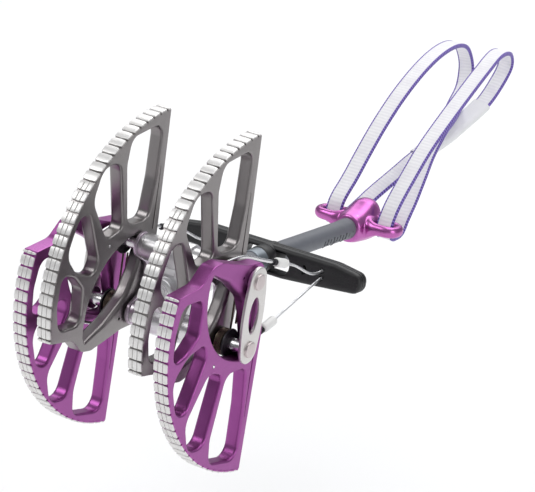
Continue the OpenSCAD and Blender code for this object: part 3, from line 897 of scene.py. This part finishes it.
TRIGGER_Y, TRIGGER_D = 80.5, 8
TRIGGER_BACK = TRIGGER_Y + TRIGGER_D
SHEATH_CLEAR = 5.06
WIRE_Z = {"inner": 1.3, "outer": -2.3}
MARK_X, MARK_Z = 20.6, -0.6


def crescent(side):
    """A small curved slot through the bar beside the hub, in (x, z)."""
    arc = [radians(a) for a in range(-62, 63, 12)]
    points = [(3.55, 0.78, a) for a in arc] + [(2.55, 0.7, a) for a in arc[::-1]]
    return [Vector((side * (18.4 + r * cos(a)), MARK_Z + flat * r * sin(a))) for r, flat, a in points]


def grip_dots(shape, centre, columns, rows, skip):
    """Rows of small raised dots on both sides of the bar's front."""
    pitch = 1.5
    profile = [(TRIGGER_Y + y, r) for y, r in ((0.1, 0.34), (-0.06, 0.3), (-0.12, 0.18), (-0.13, 0.01))]
    for i in range(columns):
        for j in range(rows):
            x, z = centre + (i - (columns - 1) / 2) * pitch, MARK_Z + (j - (rows - 1) / 2) * pitch
            if skip(x, abs(z - MARK_Z)):
                continue
            for s in (-1, 1):
                lathe(shape, profile, "Y", (s * x, 0, z), 8)


def build_trigger_bar():
    outline = turned(rounded([
        [-50.5, -5, 4.4], [-50.5, 4, 4.4], [-36, 6.2, 25], [36, 6.2, 25], [50.5, 4, 4.4], [50.5, -5, 4.4],
        [28, -7.2, 30], [9, -8.8, 8], [-9, -8.8, 8], [-28, -7.2, 30]], 10), True)
    # rounded front and back edges, and two fine grooves round the bar
    sides = [(out, TRIGGER_Y + y) for out, y in (
        (-1.9, 0), (-0.9, 0.25), (-0.25, 0.95), (0, 2),
        (0, 2.9), (-0.28, 3.05), (-0.28, 3.3), (0, 3.45),
        (0, 4.6), (-0.28, 4.75), (-0.28, 5), (0, 5.15),
        (0, TRIGGER_D - 2), (-0.25, TRIGGER_D - 0.95), (-0.9, TRIGGER_D - 0.25), (-1.9, TRIGGER_D))]
    opening = rounded([[-12.5, -6.9, 5], [-12.5, 4, 5], [12.5, 4, 5], [12.5, -6.9, 5]], 8)
    crescents = [crescent(-1), crescent(1)]
    holes = [circle(s * WIRE_X, z, 1.1, 20) for s in (-1, 1) for z in WIRE_Z.values()]
    shape = Shape()
    slab(shape, [outline, opening] + crescents + holes,
         [sides, eased(TRIGGER_Y, TRIGGER_BACK, 0.8)] + [eased(TRIGGER_Y, TRIGGER_BACK, 0.3)] * 6,
         lambda x, z, y: (x, y, z))
    # hub round the stem, joined to the bar above the opening
    lathe(shape, [(TRIGGER_Y - 1, 5.05), (TRIGGER_Y - 1, 5.9), (TRIGGER_Y - 0.7, 6.2),
                  (TRIGGER_BACK - 0.6, 6.2), (TRIGGER_BACK, 5.7), (TRIGGER_BACK, 5.05)], "Y", closed=True)
    grip_dots(shape, MARK_X, 6, 5, lambda x, rise: abs(x - MARK_X) < 2.6 and rise < 3.2)
    grip_dots(shape, 42.4, 10, 4, lambda x, rise: x > 46.4 and rise > 1.6)
    made = paint(make("trigger_bar_body", shape), "trigger_black", BAR)
    weigh_normals(made)
    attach(made, "trigger")
    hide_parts("trigger_bar")


def build_trigger_sleeve():
    shape = Shape()
    lathe(shape, [(66, SHEATH_CLEAR), (66, 5.25), (66.4, 5.5), (67, 5.65), (70, 5.75), (73, 5.75),
                  (73, SHEATH_CLEAR)], "Y", closed=True)
    lathe(shape, [(73, SHEATH_CLEAR), (73, 5.8), (73.4, 6.1), (74.5, 6.25), (78.6, 6.3), (79.4, 6),
                  (79.4, SHEATH_CLEAR)], "Y", ink=1, closed=True)
    made = paint(make("trigger_sleeve_dome", shape), "sleeve_grey", SLEEVE, BAR)
    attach(made, "trigger")
    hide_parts("trigger_sleeve")


def build_cable_loops():
    """The two wires of a side are one cable that turns back behind the bar."""
    high, low = WIRE_Z.values()
    back = TRIGGER_BACK
    for side_name, side in SIDES.items():
        turn = [(side * WIRE_X, y, z) for y, z in (
            (81, high), (back - 1, high), (back + 0.8, high - 0.3), (back + 1.6, (high + low) / 2),
            (back + 0.8, low + 0.3), (back - 1, low), (81, low))]
        shape = thin_cable(smooth(turn, 10), 0.4)
        made = paint(make(side_name + "_loop_strands", shape), "cable_steel", CABLE)
        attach(made, "trigger")
        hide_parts(side_name + "_cable_loop")


# ---- trigger wires

# Each wire as (y, z) points: its stiff rod, then its cable. The ferrule bridges them.
WIRES = {
    "inner": ([[-23.9, 18.8], [-18.5, 20.6], [-12, 22.3], [-4, 22.9], [4, 22.7], [12, 21.1], [22, 18],
               [33, 14.9]],
              [[45, 11.8], [49, 10.7], [54, 9], [60, 6.4], [66, 3.6], [72, 1.6], [77, 1], [80.5, 1.3]]),
    "outer": ([[-23.9, -18.8], [-18.5, -20.6], [-12, -22.3], [-4, -22.9], [4, -22.7], [12, -21.6],
               [21, -19.6], [30, -17.4]],
              [[42, -14.2], [50, -11.7], [58, -9.2], [66, -6.7], [73, -4.5], [80.5, -2.3]]),
}
ROD_R, FERRULE_R = 0.78, 2.2


def thin_cable(route, step):
    shape = Shape()
    path = resample(route, step)
    tube(shape, path, 0.35, 8)
    twisted(shape, path, 0.65, 6, 6)
    return shape


def along(shape, start, heading, profile, count=32):
    """Turns (distance, radius) about the line from start along heading."""
    across = heading.orthogonal().normalized()
    up = heading.cross(across)
    shape.loft([[start + heading * d + (across * c + up * s) * r for c, s in unit_circle(count)]
                for d, r in profile])


def build_rod(tail, group, side, points, body):
    """A rod that turns in at its front end, through the cam."""
    inward = -1 if group == "inner" else 1
    first = points[0]
    far = Vector((side * (CAMS[group][0] + inward * (CAM_HALF + 0.3)), first.y, first.z))
    bend = [Vector((side * (WIRE_X + inward * x), first.y + y, first.z - inward * z))
            for x, y, z in ((1.1, 0, 0), (0.25, 0.25, 0.1), (0, 1.1, 0.35))]
    end = [far + (bend[0] - far) * t for t in (0, 0.02, 0.05, 0.5)]
    path = smooth(bend + points[1:], 8)
    shape = Shape()
    tube(shape, end + path, ROD_R, 14, radii=[0.45, 0.7] + [ROD_R] * (len(path) + 2))
    rod = paint(make("rod_" + tail + "_wire", shape), "rod_steel", ROD)
    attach(rod, body)
    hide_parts("rod_" + tail)


def build_collar(tail, start, heading, body):
    """A short ribbed collar where the rod enters the ferrule."""
    shape = Shape()
    profile = [(-0.5, 0.8), (-0.5, 1.2)]
    for i in range(5):
        profile += [(d + 0.55 * i, r) for d, r in ((-0.4, 1.55), (-0.15, 1.55), (-0.1, 1.3), (0.1, 1.3))]
    along(shape, start, heading, profile + [(2.5, 1.3), (2.5, 0.5)])
    collar = paint(make("collar_" + tail + "_ribs", shape), "collar_black", COLLAR)
    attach(collar, body)
    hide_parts("collar_" + tail)


def build_ferrule(tail, start, heading, length, body):
    shape = Shape()
    profile = [(2.3, 0.6), (2.35, 1.3), (2.6, 1.8), (3.1, 2.12), (3.7, FERRULE_R), (length - 1.4, FERRULE_R),
               (length - 0.8, 2.1), (length - 0.3, 1.75), (length, 1.2), (length, 0.5)]
    along(shape, start, heading, profile, 40)
    ferrule = paint(make("ferrule_" + tail + "_shell", shape), "ferrule_white", FERRULE)
    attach(ferrule, body)
    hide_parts("ferrule_" + tail)


def build_wires():
    for side_name, side in SIDES.items():
        for group, routes in WIRES.items():
            tail = group + "_" + side_name
            body = "wire_" + tail
            rod_points, cable_points = [[Vector((side * WIRE_X, y, z)) for y, z in route] for route in routes]
            start, goal = rod_points[-1], cable_points[0]
            heading, length = (goal - start).normalized(), (goal - start).length
            build_rod(tail, group, side, rod_points, body)
            build_collar(tail, start, heading, body)
            build_ferrule(tail, start, heading, length, body)
            shape = thin_cable(smooth([goal - heading * 0.5] + cable_points, 8), 0.45)
            cable = paint(make("cable_" + tail + "_strands", shape), "cable_steel", CABLE)
            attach(cable, body)
            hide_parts("cable_" + tail)


build_trigger_bar()
build_trigger_sleeve()
build_cable_loops()
build_wires()


# ---- sling

SLING_ROUTE = [
    [-15, 170.6, 0], [-15, 171, 5], [-15, 174, 10.5], [-15, 183, 19], [-15, 194, 31], [-15, 206, 43],
    [-15, 222, 56], [-15, 240, 67], [-15, 258, 74.5], [-15, 275, 77.5], [-15, 288, 75], [-14, 295, 66],
    [-12, 293, 57], [-8.5, 284, 52.5], [-3.5, 268, 49], [3, 249, 46], [6.5, 232, 41], [9, 217, 31.5],
    [11.5, 206, 22], [13, 197, 12], [14, 189, 4], [14.5, 184, -2], [14.5, 178, -3.6], [14.5, 173, -3],
    [14.5, 170.6, 0], [14.5, 171, 5], [14.5, 176, 13.5], [14.5, 187, 25], [14.5, 201, 38], [14.5, 218, 50],
    [14, 239, 62.5], [13.5, 257, 72.5], [13, 271, 79], [12.5, 283, 78.5], [12, 288, 71], [11, 282, 61],
    [10, 271, 51.5], [6.5, 258, 42.5], [3.5, 243, 34.5], [-1, 227, 27], [-5, 213, 18], [-9.5, 201, 9],
    [-13, 191, 1], [-15, 184, -2.8], [-15, 178, -3.6], [-15, 173, -3],
]
STRAP_W, STRAP_T = 8.5, 2.0
ACROSS = Vector((1, 0, 0))


def weave():
    """White tape: fine ribs across and threads along it, from the strap's own UV in millimetres."""
    made = Paint("webbing_white", Sheen_Weight=0.35, Sheen_Roughness=0.5)
    ribs = made.wave(1.9, "X", "strap", 0.6)
    threads = made.wave(0.55, "Y", "strap", 0.3)
    tone = made.mix(srgb(236, 235, 240), srgb(249, 248, 251), ribs)
    tone = made.mix(tone, srgb(252, 251, 253), made.math("MULTIPLY", threads, 0.5))
    dirt = made.steps(made.noise(9, 4), 0.45, 0.75)
    made.color(made.mix(tone, srgb(226, 222, 232), made.math("MULTIPLY", dirt, 0.5)))
    made.rough(made.noise(0.8, 4), 0.7, 0.9)
    made.bump(ribs, 0.06)
    made.bump(threads, 0.05)
    made.bump(made.noise(0.25, 4), 0.03)
    return made.material


def thread(name, dark, light):
    made = Paint(name, Sheen_Weight=0.3, Sheen_Roughness=0.4)
    strands = made.wave(0.45, "X", "strap", 0.5)
    beads = made.wave(1.6, "X", "strap")
    tone = made.mix(dark, light, made.steps(beads, 0.35, 0.75))
    made.color(made.mix(tone, shade(light, 1.15), made.math("MULTIPLY", strands, 0.35)))
    made.rough(made.noise(0.6, 4), 0.6, 0.85)
    made.bump(strands, 0.05)
    return made.material


WEBBING = weave()
VIOLET = thread("edge_thread_violet", srgb(44, 22, 116), srgb(142, 120, 206))
LABEL = plastic("label_white", srgb(240, 240, 242), (0.5, 0.7), 0.02, 0.5, 0.03)


def strap_uv(piece, path, around):
    """Marks each ring's distance along the strap and its place round the section, in millimetres."""
    lengths = [0]
    for a, b in zip(path, path[1:] + path[:1]):
        lengths.append(lengths[-1] + (b - a).length)
    layer = piece.data.uv_layers.new(name="strap")
    n, total = len(around) - 1, len(path)
    for polygon in piece.data.polygons:
        ids = [piece.data.loops[i].vertex_index for i in polygon.loop_indices]
        rings, turns = [v // n for v in ids], [v % n for v in ids]
        wraps = max(rings) - min(rings) > total / 2
        folds = max(turns) - min(turns) > n / 2
        for loop, i, k in zip(polygon.loop_indices, rings, turns):
            if wraps and i == 0:
                i = total
            if folds and k == 0:
                k = n
            layer.data[loop].uv = (lengths[i], around[k])


def strap_section(w, t, count=10):
    """A flat tape's section with half-round edges, from the left edge over the top."""
    top = [(-w / 2 + t / 2 * (1 - cos(a)), t / 2 * sin(a)) for a in [pi / 2 * k / 3 for k in range(4)]]
    middle = [(-w / 2 + t / 2 + (w - t) * k / count, t / 2) for k in range(1, count)]
    upper = top + middle + [(-u, v) for u, v in top[::-1]]
    return upper + [(-u, -v) for u, v in upper[1:-1]]


def strap(name, path, section, around):
    """A closed tape along a path. around is the distance round the section at each of its points."""
    shape = Shape()
    tube(shape, path, 1.0, closed=True, section=section, side=ACROSS)
    mesh = bpy.data.meshes.new(name)
    mesh.from_pydata([p * MM for p in shape.points], [], shape.faces)
    mesh.shade_smooth()
    piece = add_object(name, mesh)
    strap_uv(piece, path, around)
    return piece


def build_sling():
    path = smooth(SLING_ROUTE, 6, closed=True)
    section = strap_section(STRAP_W, STRAP_T)
    around = [0.0]
    for (a, b), (c, d) in zip(section, section[1:] + section[:1]):
        around.append(around[-1] + hypot(c - a, d - b))
    sling = strap("sling_webbing", path, section, around)
    paint(sling, "webbing", WEBBING)
    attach(sling, "root")
    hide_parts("sling")

    section = [(0.62 * c, 1.16 * s) for c, s in unit_circle(10)]
    around = [0.5 * k for k in range(len(section) + 1)]
    for label, s in (("near", 1), ("far", -1)):
        edge_path = [at + across * (s * (STRAP_W / 2 - 0.42)) for at, across, _ in frames(path, True, ACROSS)]
        edge = strap("sling_edge_" + label, edge_path, section, around)
        paint(edge, "thumb_purple", VIOLET)
        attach(edge, "root")

    covered = frames(smooth(SLING_ROUTE[35:41], 6)[6:-6], False, ACROSS)
    outer, inner = [[[at + across * u + up * v for u, v in section] for at, across, up in covered]
                    for section in (strap_section(STRAP_W + 2.2, STRAP_T + 2.0),
                                    strap_section(STRAP_W + 1.0, STRAP_T + 0.9))]
    shape = Shape()
    shape.loft(outer + inner[::-1], loop=True)
    label = paint(make("sling_label_sleeve", shape, 60), "label_white", LABEL)
    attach(label, "root")
    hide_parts("sling_label")


build_sling()


# ---- studio

FLOOR_Z, FLOOR_HALF = -160, 2500


def build_studio():
    shape = Shape()
    shape.add([(x * FLOOR_HALF, y * FLOOR_HALF, FLOOR_Z) for x, y in ((-1, -1), (1, -1), (1, 1), (-1, 1))],
              [[0, 1, 2, 3]])
    floor = make("studio_floor", shape)
    made = Paint("floor_white", Roughness=0.9)
    made.color(made.mix(srgb(246, 246, 246), srgb(251, 251, 251), made.noise(400, 2)))
    made.bump(made.noise(3, 3), 0.02)
    floor.data.materials.append(made.material)

    world = bpy.data.worlds.new("studio")
    world.use_nodes = True
    world.node_tree.nodes["Background"].inputs["Color"].default_value = (0.9, 0.92, 0.95, 1)
    world.node_tree.nodes["Background"].inputs["Strength"].default_value = 0.34
    bpy.context.scene.world = world

    def light(name, place, target, size, power):
        data = bpy.data.lights.new(name, "AREA")
        data.shape = "RECTANGLE"
        data.size, data.size_y = size
        data.energy = power
        lamp = add_object(name, data)
        lamp.location = place
        lamp.rotation_euler = (Vector(target) - Vector(place)).to_track_quat("-Z", "Y").to_euler()

    light("key_softbox", (-0.9, -0.9, 1.2), (0, 0.1, 0), (0.9, 0.9), 9)
    light("top_softbox", (0.2, 0.3, 1.5), (0, 0.1, 0), (1.4, 1.0), 9)
    light("side_softbox", (1.5, -0.2, 0.5), (0, 0.1, 0), (0.7, 1.0), 6)
    light("floor_softbox", (-0.7, 1.9, 1.6), (-0.7, 1.9, -0.2), (2.6, 2.2), 34)
    bpy.context.scene.view_settings.view_transform = "Standard"


build_studio()
